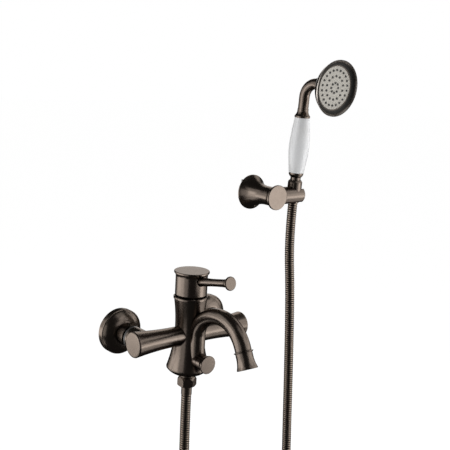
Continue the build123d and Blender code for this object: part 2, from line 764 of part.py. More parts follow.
with BuildPart() as lever:
    with BuildSketch(lever_section):
        with BuildLine():
            spigot_foot = lever_root - lever_spigot_length
            edge_start = lever_end - 2 * lever_end_edge
            Polyline((lever_radius, lever_root), (lever_spigot_radius, lever_root),
                     (lever_spigot_radius, spigot_foot), (0, spigot_foot), (0, lever_end),
                     (lever_end_radius - lever_end_edge, lever_end), (lever_end_radius,
                                                                      lever_end - lever_end_edge),
                     (lever_end_radius, edge_start))
            Spline((lever_radius, lever_root), (lever_waist_radius, 0.5 * (lever_root + lever_flare_start)),
                   (lever_flare_radius, lever_flare_start), (lever_end_radius, edge_start),
                   tangents=(lever_root_slope, lever_end_slope))
        make_face()
    revolve(axis=spin(lever_section))
save(lever, "handle_lever")

with BuildPart() as handle_grub:
    grub_foot = spindle_width / 2 + running_gap
    turn_ring(grub_section, 0, grub_radius, grub_foot, grub_foot + grub_length)
    with BuildSketch(Plane(origin=(0, body_y + grub_foot + grub_length, grub_z), z_dir=(0, 1, 0))):
        RegularPolygon(grub_socket, 6)
    extrude(amount=-grub_length / 2, mode=Mode.SUBTRACT)
save(handle_grub, "handle_grub_screw")

# Spout: one swept tube with a spigot at each end
joint_face = Plane(origin=joint_section.origin, x_dir=(1, 0, 0), z_dir=joint_section.y_dir)
with BuildPart() as spout:
    with BuildSketch(joint_face):
        Circle(spout_radius)
    sweep(path=spout_path.wire())
    turn_ring(joint_section, 0, spout_spigot_radius, -spout_spigot_length, 0)
    turn_ring(mouth_section, 0, mouth_spigot_radius, 0, mouth_spigot_length)
    with BuildSketch(joint_face):
        Circle(spout_bore)
    sweep(path=spout_path.wire(), mode=Mode.SUBTRACT)
    turn_ring(joint_section, 0, spout_bore, -spout_spigot_length, 0, mode=Mode.SUBTRACT)
    turn_ring(mouth_section, 0, spout_bore, 0, mouth_spigot_length, mode=Mode.SUBTRACT)
save(spout, "spout")

insert_top = mouth_length - insert_recess - insert_length
washer_top = insert_top - aerator_washer_thickness
with BuildPart() as aerator_housing:
    socket = mouth_spigot_radius + thread_gap
    with BuildSketch(mouth_section):
        with BuildLine():
            Polyline((socket, 0), (mouth_collar_radius, 0), (mouth_collar_radius, mouth_collar))
            collar_foot = (mouth_waist_radius, mouth_collar)
            Line((mouth_collar_radius, mouth_collar), collar_foot)
            Line(collar_foot, (mouth_waist_radius, mouth_waist))
            TangentArc((mouth_waist_radius, mouth_waist), (mouth_radius, mouth_length - 2 * mouth_edge),
                       tangent=(0, 1))
            Polyline((mouth_radius, mouth_length - 2 * mouth_edge), (mouth_radius, mouth_length - mouth_edge),
                     (mouth_radius - mouth_edge, mouth_length), (mouth_bore, mouth_length), (mouth_bore,
                                                                                             insert_top),
                     (socket, insert_top), (socket, 0))
        make_face()
    revolve(axis=spin(mouth_section))
save(aerator_housing, "aerator_housing")

with BuildPart() as aerator_washer:
    turn_ring(mouth_section, spout_bore, mouth_spigot_radius, washer_top, insert_top)
save(aerator_washer, "aerator_washer")

mouth_face = Plane(origin=mouth_section.origin, x_dir=(1, 0, 0), z_dir=mouth_section.y_dir)
with BuildPart() as aerator_insert:
    insert_radius = mouth_bore - thread_gap
    turn_ring(mouth_section, 0, insert_radius, insert_top, insert_top + insert_length)
    turn_ring(mouth_section, 0, insert_radius - insert_flange, insert_top, insert_top + insert_length / 2,
              mode=Mode.SUBTRACT)
    with BuildSketch(mouth_face.offset(insert_top + insert_length)):
        Circle(insert_hole_radius)
        for ring_radius, hole_count in zip(insert_ring_radii, insert_ring_holes):
            with PolarLocations(ring_radius, hole_count):
                Circle(insert_hole_radius)
    extrude(amount=-insert_length, mode=Mode.SUBTRACT)
save(aerator_insert, "aerator_insert")

# Diverter: the gland stays; stem, seal and knob travel out along their axis
with BuildPart() as diverter_gland:
    stem_hole = diverter_stem_radius + running_gap
    gland_seat = diverter_boss_front + running_gap
    profile = outline(diverter_section, (stem_hole, gland_thread_end), (gland_thread_radius,
                                                                        gland_thread_end),
                      (gland_thread_radius, gland_seat), (gland_radius, gland_seat),
                      (gland_radius, gland_front - gland_edge), (gland_radius - gland_edge, gland_front),
                      (stem_hole, gland_front))
    revolve(profile, axis=spin(diverter_section))
save(diverter_gland, "diverter_gland")

valve_front = valve_thickness - valve_back
seal_middle = valve_front - valve_thickness / 2
with BuildPart() as diverter_stem:
    stem_front = knob_socket_end - seat_gap
    turn_ring(diverter_section, 0, diverter_stem_radius, -valve_back, stem_front)
    turn_ring(diverter_section, 0, valve_radius, -valve_back, valve_front)
    seal_groove = ring(diverter_section, valve_radius - valve_seal_depth, valve_radius,
                       seal_middle - valve_seal_width / 2, seal_middle + valve_seal_width / 2)
    revolve(seal_groove, axis=spin(diverter_section), mode=Mode.SUBTRACT)
save(diverter_stem, "diverter_stem")

with BuildPart() as diverter_seal:
    seal_outer = diverter_bore - seat_gap
    seal = ring(diverter_section, valve_radius - valve_seal_depth, seal_outer,
                seal_middle - valve_seal_width / 2, seal_middle + valve_seal_width / 2)
    revolve(seal, axis=spin(diverter_section))
save(diverter_seal, "diverter_seal")

with BuildPart() as diverter_knob:
    neck_back = gland_front + clear_gap
    with BuildSketch(diverter_section):
        with BuildLine():
            socket = diverter_stem_radius + running_gap
            rim_back = knob_face - knob_edge - knob_rim
            Polyline((knob_neck_radius, neck_back), (socket, neck_back), (socket, knob_socket_end),
                     (0, knob_socket_end), (0, knob_face), (knob_radius - knob_edge, knob_face),
                     (knob_radius, knob_face - knob_edge), (knob_radius, rim_back))
            TangentArc((knob_neck_radius, neck_back), (knob_radius, rim_back), tangent=(0, 1))
        make_face()
    revolve(axis=spin(diverter_section))
save(diverter_knob, "diverter_knob")

# Lower hose fitting: nut, washer and ferrule below the column
nut_top_z = dome_bottom_z - clear_gap
nut_bottom_z = nut_top_z - hose_nut_height
flange_top_z = nipple_end_z - hose_washer_thickness
flange_bottom_z = flange_top_z - hose_flange_thickness
with BuildPart() as hose_nut_lower:
    with BuildSketch(Plane.XY.offset(nut_bottom_z)):
        with Locations((0, body_y)):
            RegularPolygon(hose_nut_flats / 2, 6, major_radius=False, rotation=hose_nut_turn)
    extrude(amount=hose_nut_height)
    corner = hose_nut_flats / 2 / cos(radians(30))
    slope = hose_nut_chamfer * tan(radians(hose_nut_chamfer_angle))
    barrel = outline(column_section, (0, nut_bottom_z), (corner - hose_nut_chamfer, nut_bottom_z),
                     (corner, nut_bottom_z + slope), (corner, nut_top_z - slope),
                     (corner - hose_nut_chamfer, nut_top_z), (0, nut_top_z))
    revolve(barrel, axis=spin(column_section), mode=Mode.INTERSECT)
    hole = outline(column_section, (0, nut_bottom_z), (hose_ferrule_radius + seat_gap, nut_bottom_z),
                   (hose_ferrule_radius + seat_gap, flange_bottom_z - running_gap),
                   (nipple_radius + thread_gap, flange_bottom_z - running_gap),
                   (nipple_radius + thread_gap, nut_top_z), (0, nut_top_z))
    revolve(hole, axis=spin(column_section), mode=Mode.SUBTRACT)
save(hose_nut_lower, "hose_nut_lower")

with BuildPart() as hose_washer_lower:
    turn_ring(column_section, hose_bore, hose_flange_radius, flange_top_z, nipple_end_z)
save(hose_washer_lower, "hose_washer_lower")

with BuildPart() as hose_ferrule_lower:
    profile = outline(column_section, (hose_bore, hose_ferrule_end_z), (hose_ferrule_radius,
                                                                        hose_ferrule_end_z),
                      (hose_ferrule_radius, flange_bottom_z), (hose_flange_radius, flange_bottom_z),
                      (hose_flange_radius, flange_top_z), (hose_bore, flange_top_z))
    revolve(profile, axis=spin(column_section))
save(hose_ferrule_lower, "hose_ferrule_lower")

# Wall holder: plate and screws on the wall, bell and disc over them, bar with the cradle at its end
with BuildPart() as holder_plate:
    turn_ring(holder_section, 0, wall_plate_radius, 0, wall_plate_thickness)
    turn_ring(holder_section, 0, wall_hub_radius, 0, wall_hub_reach)
    plate_face = Plane(origin=(holder_x, -wall_plate_thickness, holder_z), x_dir=(1, 0, 0), z_dir=(0, -1, 0))
    with BuildSketch(plate_face):
        with GridLocations(0, wall_screw_spacing, 1, 2):
            Circle(wall_screw_radius + thread_gap)
    extrude(amount=-wall_plate_thickness, mode=Mode.SUBTRACT)
save(holder_plate, "holder_wall_plate")

with BuildPart() as wall_screws:
    with BuildSketch(plate_face):
        with GridLocations(0, wall_screw_spacing, 1, 2):
            Circle(wall_screw_head_radius)
    extrude(amount=wall_screw_head)
    with BuildSketch(plate_face):
        with GridLocations(0, wall_screw_spacing, 1, 2):
            Circle(wall_screw_neck_radius)
    extrude(amount=-wall_plate_thickness - wall_screw_neck)
    with BuildSketch(plate_face.offset(-wall_plate_thickness - wall_screw_neck)):
        with GridLocations(0, wall_screw_spacing, 1, 2):
            Circle(wall_screw_radius)
    extrude(amount=wall_screw_neck - wall_screw_depth)
save(wall_screws, "holder_wall_screws")

bell_foot = (bell_radius, bell_rim)
hollow_foot = (bell_radius - bell_wall, bell_rim)
hollow_top = (bell_neck_radius - bell_wall, bell_neck_reach)
hub_hole = wall_hub_radius + running_gap
holder_grub_section = section_plane((holder_x, -holder_grub_reach, holder_z), (0, 0, -1))
with BuildPart() as holder_bell:
    with BuildSketch(holder_section):
        with BuildLine():
            Polyline((bell_neck_radius, bell_neck_reach), (bell_neck_radius, bell_front), (0, bell_front),
                     (0, 0),
                     (bell_radius, 0), bell_foot)
            TangentArc((bell_neck_radius, bell_neck_reach), bell_foot, tangent=(0, -1))
        make_face()
    revolve(axis=spin(holder_section))
    with BuildSketch(holder_section):
        with BuildLine():
            Polyline(hollow_top, (0, bell_neck_reach), (0, 0), (bell_radius - bell_wall, 0), hollow_foot)
            TangentArc(hollow_top, hollow_foot, tangent=(0, -1))
        make_face()
    revolve(axis=spin(holder_section), mode=Mode.SUBTRACT)
    turn_ring(holder_section, hub_hole, hub_hole + bell_wall, wall_hub_reach / 2, bell_neck_reach)
    turn_ring(holder_section, 0, holder_stud_radius + thread_gap, bell_neck_reach, bell_front,
              mode=Mode.SUBTRACT)
    turn_ring(holder_grub_section, 0, grub_radius + running_gap, wall_hub_radius / 2, bell_radius,
              mode=Mode.SUBTRACT)
    tenon_hole = ring(tenon_section, 0, bar_tenon_radius + thread_gap, bar_root - bar_tenon_length - seat_gap,
                      bell_neck_radius)
    revolve(tenon_hole, axis=spin(tenon_section), mode=Mode.SUBTRACT)
save(holder_bell, "holder_bell")

with BuildPart() as holder_grub:
    turn_ring(holder_grub_section, 0, grub_radius, hub_hole, hub_hole + holder_grub_length)
save(holder_grub, "holder_grub_screw")

# Disc at the front of the holder, flared like the bell's neck turned round, with a stud into the neck
with BuildPart() as holder_disc:
    disc_back = bell_front + running_gap
    rim_reach = holder_reach - 2 * holder_disc_edge
    with BuildSketch(holder_section):
        with BuildLine():
            Polyline((bell_neck_radius, disc_back), (0, disc_back), (0, holder_reach),
                     (holder_disc_radius - 0.5 * holder_disc_edge, holder_reach),
                     (holder_disc_radius, holder_reach - 0.5 * holder_disc_edge), (holder_disc_radius,
                                                                                   rim_reach))
            TangentArc((bell_neck_radius, disc_back), (holder_disc_radius, rim_reach), tangent=(0, 1))
        make_face()
    revolve(axis=spin(holder_section))
    turn_ring(holder_section, 0, holder_stud_radius, bell_front - holder_stud_length, disc_back)
save(holder_disc, "holder_disc")

# Bar with the cradle: its root is saddled on the neck and the disc, its end holds the hand shower's cone
with BuildPart() as holder_bar:
    with BuildSketch(bar_section):
        with BuildLine():
            end = bar_end_x - holder_x
            CenterArc((bar_radius - bar_end_round, end - bar_end_round), bar_end_round, 0, 90)
            Polyline((bar_radius - bar_end_round, end), (0, end), (0, 0), (bar_radius, 0),
                     (bar_radius, end - bar_end_round))
        make_face()
    revolve(axis=spin(bar_section))
    with BuildSketch(holder_section):
        with BuildLine():
            saddle = bell_neck_radius + running_gap
            flare_end = (holder_disc_radius + running_gap, rim_reach)
            Polyline((saddle, bell_front), (saddle, 0), (0, 0), (0, holder_reach + bar_radius),
                     (holder_disc_radius + running_gap, holder_reach + bar_radius), flare_end)
            TangentArc((saddle, bell_front), flare_end, tangent=(0, 1))
        make_face()
    revolve(axis=spin(holder_section), mode=Mode.SUBTRACT)
    with BuildSketch(holder_section):
        with BuildLine():
            Polyline((saddle, bell_neck_reach), (0, bell_neck_reach), (0, 0), (bell_radius + running_gap, 0),
                     (bell_radius + running_gap, bell_rim))
            TangentArc((saddle, bell_neck_reach), (bell_radius + running_gap, bell_rim), tangent=(0, -1))
        make_face()
    revolve(axis=spin(holder_section), mode=Mode.SUBTRACT)
    turn_ring(tenon_section, 0, bar_tenon_radius, bar_root - bar_tenon_length,
              bell_neck_radius + 2 * clear_gap)
    cone_slope = (cone_radius - cone_foot_radius) / (cone_shoulder - cone_foot)
    cone_hole = outline(handle_section, (0, -2 * bar_radius),
                        (cone_foot_radius + cone_gap + cone_slope * (-2 * bar_radius - cone_foot),
                         -2 * bar_radius),
                        (cone_radius + cone_gap, cone_shoulder), (cone_radius + cone_gap, 2 * bar_radius),
                        (0, 2 * bar_radius))
    revolve(cone_hole, axis=spin(handle_section), mode=Mode.SUBTRACT)
    with BuildSketch(handle_face):
        with Locations((bar_radius, 0)):
            Rectangle(2 * bar_radius, cradle_slot)
    extrude(amount=2 * bar_radius, both=True, mode=Mode.SUBTRACT)
save(holder_bar, "holder_bar")

# Upper hose fitting: the cone nut that rests in the cradle, with its ferrule and washer
flange_foot = upper_flange_top - upper_flange_thickness
with BuildPart() as cone_nut:
    nut_hole = handset_thread_radius + thread_gap
    profile = outline(handle_section, (upper_ferrule_radius + seat_gap, cone_foot), (cone_foot_radius,
                                                                                     cone_foot),
                      (cone_radius, cone_shoulder), (cone_radius, cone_top - cone_top_slope),
                      (cone_radius - cone_top_edge, cone_top), (nut_hole, cone_top),
                      (nut_hole, flange_foot - running_gap),
                      (upper_ferrule_radius + seat_gap, flange_foot - running_gap))
    revolve(profile, axis=spin(handle_section))
save(cone_nut, "hose_nut_upper")

with BuildPart() as hose_ferrule_upper:
    profile = outline(handle_section, (hose_bore, upper_ferrule_foot), (upper_ferrule_radius,
                                                                        upper_ferrule_foot),
                      (upper_ferrule_radius, flange_foot), (upper_flange_radius, flange_foot),
                      (upper_flange_radius, upper_flange_top), (hose_bore, upper_flange_top))
    revolve(profile, axis=spin(handle_section))
save(hose_ferrule_upper, "hose_ferrule_upper")

thread_foot = upper_flange_top + hose_washer_thickness
with BuildPart() as hose_washer_upper:
    turn_ring(handle_section, hose_bore, upper_flange_radius, upper_flange_top, thread_foot)
save(hose_washer_upper, "hose_washer_upper")

# Handle of the hand shower: lower ferrule with the thread, ceramic grip, core tube and upper ferrule
core_hole = core_radius + running_gap
with BuildPart() as lower_ferrule:
    flare_foot = (handset_neck_radius, handset_neck_top)
    with BuildSketch(handle_section):
        with BuildLine():
            Polyline(flare_foot, (handset_neck_radius, handset_thread_top), (handset_thread_radius,
                                                                             handset_thread_top),
                     (handset_thread_radius, thread_foot), (handset_bore, thread_foot), (handset_bore,
                                                                                         core_foot),
                     (core_hole, core_foot), (core_hole, grip_foot), (lower_ferrule_radius, grip_foot),
                     (lower_ferrule_radius, grip_foot - lower_ferrule_rim))
            ThreePointArc(flare_foot, lower_ferrule_curve, (lower_ferrule_radius,
                                                            grip_foot - lower_ferrule_rim))
        make_face()
    revolve(axis=spin(handle_section))
save(lower_ferrule, "handset_lower_ferrule")

with BuildPart() as grip:
    grip_start = grip_foot + seat_gap
    with BuildSketch(handle_section):
        with BuildLine():
            Spline((grip_foot_radius, grip_start), *((radius, height) for height, radius in grip_outline),
                   (grip_top_radius, grip_top))
            Polyline((grip_top_radius, grip_top), (grip_bore, grip_top), (grip_bore, grip_start),
                     (grip_foot_radius, grip_start))
        make_face()
    revolve(axis=spin(handle_section))
save(grip, "handset_grip")

with BuildPart() as core_tube:
    turn_ring(handle_section, handset_bore, core_radius, core_foot + seat_gap, core_top)
save(core_tube, "handset_core_tube")

neck_start = core_top + seat_gap
with BuildPart() as top_ferrule:
    ferrule_foot = grip_top + seat_gap
    with BuildSketch(handle_section):
        with BuildLine():
            rim_top = (top_ferrule_radius, ferrule_foot + top_ferrule_rim)
            slope_top = (top_ferrule_neck_radius, top_ferrule_slope_top)
            Polyline(rim_top, (top_ferrule_radius, ferrule_foot), (core_hole, ferrule_foot), (core_hole,
                                                                                              core_top),
                     (neck_radius + running_gap, core_top), (neck_radius + running_gap, top_ferrule_top),
                     (top_ferrule_neck_radius, top_ferrule_top), slope_top)
            TangentArc(slope_top, rim_top, tangent=(0, -1))
        make_face()
    revolve(axis=spin(handle_section))
save(top_ferrule, "handset_top_ferrule")

with BuildPart() as neck:
    with BuildSketch(neck_face):
        Circle(neck_radius)
        Circle(neck_bore, mode=Mode.SUBTRACT)
    sweep(path=neck_path.wire())
save(neck, "handset_neck")

# Shower head: shell, face plate and the soft mat whose nozzles come through the plate
hub_foot = -head_hub_behind
neck_end = -neck_end_behind
mat_back = -plate_thickness - mat_thickness
seat_radius = plate_radius + seat_gap
with BuildPart() as head_shell:
    with BuildSketch(head_section):
        with BuildLine():
            shoulder, edge = head_outline
            rim_front = head_rim_ahead - head_rim_lip
            Polyline((head_hub_radius, hub_foot), (neck_radius + running_gap, hub_foot),
                     (neck_radius + running_gap, neck_end), (neck_bore, neck_end),
                     (neck_bore, neck_end + head_wall))
            Line((neck_bore, neck_end + head_wall), (seat_radius - head_shelf, shoulder[0] + head_wall))
            Polyline((seat_radius - head_shelf, shoulder[0] + head_wall), (seat_radius - head_shelf,
                                                                           mat_back),
                     (seat_radius, mat_back), (seat_radius, 0))
            ThreePointArc((seat_radius, 0), head_band_curve, (head_rim_radius - head_rim_lip, head_rim_ahead))
            Polyline((head_rim_radius - head_rim_lip, head_rim_ahead), (head_rim_radius,
                                                                        head_rim_ahead - head_rim_edge),
                     (head_rim_radius, head_rim_ahead - head_rim_width))
            Line((head_rim_radius, head_rim_ahead - head_rim_width), (edge[1], edge[0]))
            Spline((edge[1], edge[0]), (shoulder[1], shoulder[0]), (head_hub_radius,
                                                                    hub_foot + head_hub_straight),
                   tangents=(head_shoulder_slope, (0, -1)))
            Line((head_hub_radius, hub_foot + head_hub_straight), (head_hub_radius, hub_foot))
        make_face()
    revolve(axis=spin(head_section))
save(head_shell, "handset_head_shell")

with BuildPart() as face_plate:
    with BuildSketch(head_face):
        Circle(plate_radius)
        for ring_radius, nozzle_count in zip(nozzle_ring_radii, nozzle_ring_counts):
            with PolarLocations(ring_radius, nozzle_count, start_angle=nozzle_ring_start):
                Circle(nozzle_radius + seat_gap / 2, mode=Mode.SUBTRACT)
    extrude(amount=-plate_thickness)
save(face_plate, "handset_face_plate")

with BuildPart() as nozzle_mat:
    with BuildSketch(head_face.offset(-plate_thickness - running_gap)):
        Circle(plate_radius)
    extrude(amount=running_gap - mat_thickness)
    with BuildSketch(head_face.offset(-plate_thickness - running_gap)):
        for ring_radius, nozzle_count in zip(nozzle_ring_radii, nozzle_ring_counts):
            with PolarLocations(ring_radius, nozzle_count, start_angle=nozzle_ring_start):
                Circle(nozzle_radius)
    extrude(amount=plate_thickness + running_gap + nozzle_proud)
save(nozzle_mat, "handset_nozzle_mat")

# Route of the hose: straight runs joined by arcs as large as the two runs beside each point allow
hose_end = handle_section.origin + handle_axis * upper_ferrule_foot
hose_route = [Vector(0, body_y, hose_ferrule_end_z)]
hose_route += [Vector(*point) for point in hose_points]
hose_route += [hose_end - handle_axis * hose_last_run, hose_end]
hose_radii = []
for before, here, after in zip(hose_route, hose_route[1:], hose_route[2:]):
    run_in = here - before
    run_out = after - here
    shorter = min(run_in.length, run_out.length)
    hose_radii.append(0.45 * shorter / tan(radians(run_in.get_angle(run_out) / 2)))
with BuildLine() as hose_line:
    FilletPolyline(*hose_route, radius=hose_radii)
hose_wire = hose_line.wire()
print("hose length", round(hose_wire.length, 1))
print("hose radii", [round(radius) for radius in hose_radii])


def hose_plane(distance):
    """The plane square to the hose at a distance along it, its x axis kept as near to Y as it can be."""
    along = hose_wire % (distance / hose_wire.length)
    across = Vector(0, 1, 0) - along * along.Y
    return Plane(origin=hose_wire @ (distance / hose_wire.length), x_dir=across, z_dir=along)


# Hose: plain ends one diameter long, and between them ribs of four circles each
plain_end = 2 * hose_radius
rib_pitch = (hose_wire.length - 2 * plain_end) / hose_rib_count
rib_rings = ((0.0, hose_radius), (0.5, hose_radius), (0.62, hose_valley_radius), (0.88, hose_valley_radius))
hose_rings = [(0, hose_radius)]
for rib in range(hose_rib_count):
    hose_rings += [(plain_end + (rib + part) * rib_pitch, radius) for part, radius in rib_rings]
hose_rings += [(hose_wire.length - plain_end, hose_radius), (hose_wire.length, hose_radius)]
with BuildPart() as hose_core:
    with BuildSketch(hose_plane(0)):
        Circle(hose_bore)
    sweep(path=hose_wire)
with BuildPart() as shower_hose:
    for distance, radius in hose_rings:
        with BuildSketch(hose_plane(distance)):
            Circle(radius)
    loft(ruled=True)
    add(hose_core.part, mode=Mode.SUBTRACT)
save(shower_hose, "shower_hose")
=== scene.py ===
"""Looks for the wall-mounted bath mixer: bronze, ceramic and plastic finishes, the ribbed shower hose,
the studio and the camera. Metres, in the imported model's frame: +X right, +Y into the wall, +Z up."""

import json
from math import cos, floor, pi, radians, sin

import bpy
from mathutils import Matrix, Vector


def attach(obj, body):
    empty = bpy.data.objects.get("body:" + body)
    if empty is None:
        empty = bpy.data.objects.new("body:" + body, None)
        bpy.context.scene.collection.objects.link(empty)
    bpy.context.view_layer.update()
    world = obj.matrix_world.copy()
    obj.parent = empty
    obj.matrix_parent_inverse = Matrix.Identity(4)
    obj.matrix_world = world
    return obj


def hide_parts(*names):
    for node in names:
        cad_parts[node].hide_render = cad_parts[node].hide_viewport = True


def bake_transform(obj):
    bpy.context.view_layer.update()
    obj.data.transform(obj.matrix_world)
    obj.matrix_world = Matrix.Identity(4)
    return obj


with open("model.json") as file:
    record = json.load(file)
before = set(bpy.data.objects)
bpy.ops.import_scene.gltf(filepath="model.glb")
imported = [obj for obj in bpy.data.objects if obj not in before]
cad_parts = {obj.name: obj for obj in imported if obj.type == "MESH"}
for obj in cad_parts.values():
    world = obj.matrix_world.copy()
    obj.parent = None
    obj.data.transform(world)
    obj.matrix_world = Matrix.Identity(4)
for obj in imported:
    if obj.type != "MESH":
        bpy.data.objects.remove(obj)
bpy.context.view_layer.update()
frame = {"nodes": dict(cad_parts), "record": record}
nodes = frame["nodes"]
scene = bpy.context.scene


def add_object(name, data):
    thing = bpy.data.objects.new(name, data)
    scene.collection.objects.link(thing)
    return thing


def new_mesh(name, points, faces, smooth=False):
    mesh = bpy.data.meshes.new(name)
    mesh.from_pydata([tuple(point) for point in points], [], faces)
    if smooth:
        mesh.polygons.foreach_set("use_smooth", [True] * len(mesh.polygons))
    return mesh


# Camera: the photograph's place, turn and focal length
camera_place = (-0.72193, -0.98658, 0.38736)
camera_azimuth = -40.04
camera_pitch = 11.19
camera_roll = 3.07
camera_sensor = 36.0
camera_lens = 70.92


def camera_axes():
    """The camera's right, up and back directions."""
    azimuth = radians(camera_azimuth)
    pitch = radians(camera_pitch)
    back = Vector((sin(azimuth) * cos(pitch), -cos(azimuth) * cos(pitch), sin(pitch)))
    level_right = Vector((0.0, 0.0, 1.0)).cross(back).normalized()
    level_up = back.cross(level_right)
    roll = radians(camera_roll)
    right = cos(roll) * level_right + sin(roll) * level_up
    up = cos(roll) * level_up - sin(roll) * level_right
    return right, up, back


def add_camera():
    data = bpy.data.cameras.new("camera")
    data.sensor_width = camera_sensor
    data.lens = camera_lens
    camera = add_object("camera", data)
    turn = Matrix(camera_axes()).transposed().to_4x4()
    camera.matrix_world = Matrix.Translation(camera_place) @ turn
    scene.camera = camera


add_camera()

# Hose: the route's points, its ribs, and the stretch that bends as the hand shower is lifted
hose_route = (
    (0.0, -0.063, -0.0878), (0.0, -0.063, -0.15), (0.0025, -0.0635, -0.235),
    (0.007, -0.061, -0.335), (0.022, -0.059, -0.443), (0.066, -0.056, -0.515),
    (0.122, -0.053, -0.534), (0.178, -0.05, -0.506), (0.216, -0.048, -0.433),
    (0.2275, -0.046, -0.325), (0.2205, -0.046, -0.215), (0.2145, -0.0455, -0.095),
    (0.2085, -0.0435, 0.025), (0.1995, -0.042109, 0.112112), (0.1995, -0.045275, 0.167021),
)
route_order = 3
route_steps = 64
hose_diameter = 0.0144
hose_radius = hose_diameter / 2.0
hose_groove_radius = 0.006
hose_sides = 16
rib_pitch = 0.00336
rib_fullness = 0.55
rings_per_rib = 8


def route_line(points):
    """The smooth line of the hose's route, as closely spaced points."""
    curve = bpy.data.curves.new("hose_route", "CURVE")
    curve.dimensions = "3D"
    spline = curve.splines.new("NURBS")
    spline.points.add(len(points) - 1)
    for place, point in zip(spline.points, points):
        place.co = (*point, 1.0)
    spline.order_u = route_order
    spline.use_endpoint_u = True
    spline.resolution_u = route_steps
    holder = add_object("hose_route", curve)
    mesh = bpy.data.meshes.new_from_object(holder)
    line = [vertex.co.copy() for vertex in mesh.vertices]
    bpy.data.objects.remove(holder)
    bpy.data.curves.remove(curve)
    bpy.data.meshes.remove(mesh)
    return line


def even_stations(line, step):
    """Distances, points and directions along a line, about a step apart."""
    lengths = [0.0]
    for first, second in zip(line, line[1:]):
        lengths.append(lengths[-1] + (second - first).length)
    count = round(lengths[-1] / step)
    stations = []
    leg = 0
    for number in range(count + 1):
        distance = lengths[-1] * number / count
        while leg < len(line) - 2 and lengths[leg + 1] < distance:
            leg += 1
        share = (distance - lengths[leg]) / (lengths[leg + 1] - lengths[leg])
        place = line[leg].lerp(line[leg + 1], share)
        before = line[max(leg - 1, 0)]
        after = line[min(leg + 2, len(line) - 1)]
        stations.append((distance, place, (after - before).normalized()))
    return stations


def rib_height(distance, turn):
    """Height of the wound strip from 0 to 1: a full round rib that runs round the hose as a screw."""
    phase = distance / rib_pitch + turn
    phase -= floor(phase)
    return sin(pi * phase) ** rib_fullness


def hose_mesh(stations):
    """The hose as a tube with flat ends, which keeps each point's rib height for its material."""
    points = []
    heights = []
    side = Vector((1.0, 0.0, 0.0))
    for distance, place, direction in stations:
        side = (side - side.dot(direction) * direction).normalized()
        other = direction.cross(side)
        for number in range(hose_sides):
            turn = number / hose_sides
            angle = 2.0 * pi * turn
            heights.append(rib_height(distance, turn))
            radius = hose_groove_radius + (hose_radius - hose_groove_radius) * heights[-1]
            points.append(place + radius * (cos(angle) * side + sin(angle) * other))
    faces = []
    for ring in range(len(stations) - 1):
        for number in range(hose_sides):
            near = ring * hose_sides + number
            far = ring * hose_sides + (number + 1) % hose_sides
            faces.append((near, far, far + hose_sides, near + hose_sides))
    faces.append(tuple(reversed(range(hose_sides))))
    last = (len(stations) - 1) * hose_sides
    faces.append(tuple(range(last, last + hose_sides)))
    mesh = new_mesh("shower_hose_ribbed", points, faces, smooth=True)
    mesh.attributes.new("rib_height", "FLOAT", "POINT").data.foreach_set("value", heights)
    mesh.update()
    return mesh


def add_hose():
    stations = even_stations(route_line(hose_route), rib_pitch / rings_per_rib)
    hose = add_object("hose_ribbed", hose_mesh(stations))
    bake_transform(hose)
    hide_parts("shower_hose")
    return hose


# Lower hose nut: a hexagon with a longer upper chamfer. Cones and bore are radius and height.
nut_centre = (0.0, -0.063)
nut_half_flats = 0.01175
nut_flat_turn = pi / 3.0
nut_columns = 120
nut_lower_cone = ((0.0106, -0.0755), (0.01357, -0.0736))
nut_upper_cone = ((0.0109, -0.061), (0.01357, -0.0651))
nut_bore = ((0.0105, -0.061), (0.0105, -0.07195), (0.0077, -0.07195), (0.0077, -0.0755))

# Bead on the collar of the spout's mouth
bead_centre = Vector((0.0, -0.17794, 0.00853))
bead_axis = Vector((0.0, -0.4226, -0.9063))
bead_reach = 0.0123
bead_radius = 0.0007
bead_columns = 96
bead_sides = 14


def cone_level(cone, radius):
    """The height at which a chamfer's cone has a radius."""
    (end_radius, end_z), (corner_radius, corner_z) = cone
    return end_z + (corner_z - end_z) * (radius - end_radius) / (corner_radius - end_radius)


def ring_mesh(name, rings, smooth=False):
    """A closed ring of faces from one loop of points per step of the turn, all loops alike."""
    loop = len(rings[0])
    count = len(rings)
    faces = []
    for column in range(count):
        near = column * loop
        far = (column + 1) % count * loop
        for level in range(loop):
            above = (level + 1) % loop
            faces.append((near + level, far + level, far + above, near + above))
    return new_mesh(name, [point for ring in rings for point in ring], faces, smooth)


def add_piece(name, mesh, body):
    piece = add_object(name, mesh)
    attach(piece, body)
    return piece


def add_lower_nut():
    name = "hose_nut_lower_hexagon"
    half_turn = nut_flat_turn / 2.0
    rings = []
    for column in range(nut_columns):
        angle = 2.0 * pi * column / nut_columns
        radius = nut_half_flats / cos((angle + half_turn) % nut_flat_turn - half_turn)
        profile = (
            nut_lower_cone[0], (radius, cone_level(nut_lower_cone, radius)),
            (radius, cone_level(nut_upper_cone, radius)), nut_upper_cone[0], *nut_bore,
        )
        rings.append([
            (nut_centre[0] + reach * cos(angle), nut_centre[1] + reach * sin(angle), level)
            for reach, level in profile
        ])
    nut = add_piece(name, ring_mesh(name, rings), "mixer")
    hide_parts("hose_nut_lower")
    return nut


def add_mouth_bead():
    name = "spout_mouth_bead"
    across = Vector((1.0, 0.0, 0.0))
    other = bead_axis.cross(across)
    rings = []
    for column in range(bead_columns):
        angle = 2.0 * pi * column / bead_columns
        outward = cos(angle) * across + sin(angle) * other
        rings.append([])
        for side in range(bead_sides):
            turn = 2.0 * pi * side / bead_sides
            reach = bead_reach + bead_radius * cos(turn)
            rings[-1].append(bead_centre + reach * outward + bead_radius * sin(turn) * bead_axis)
    return add_piece(name, ring_mesh(name, rings, smooth=True), "mixer")


hose = add_hose()
lower_nut = add_lower_nut()
mouth_bead = add_mouth_bead()


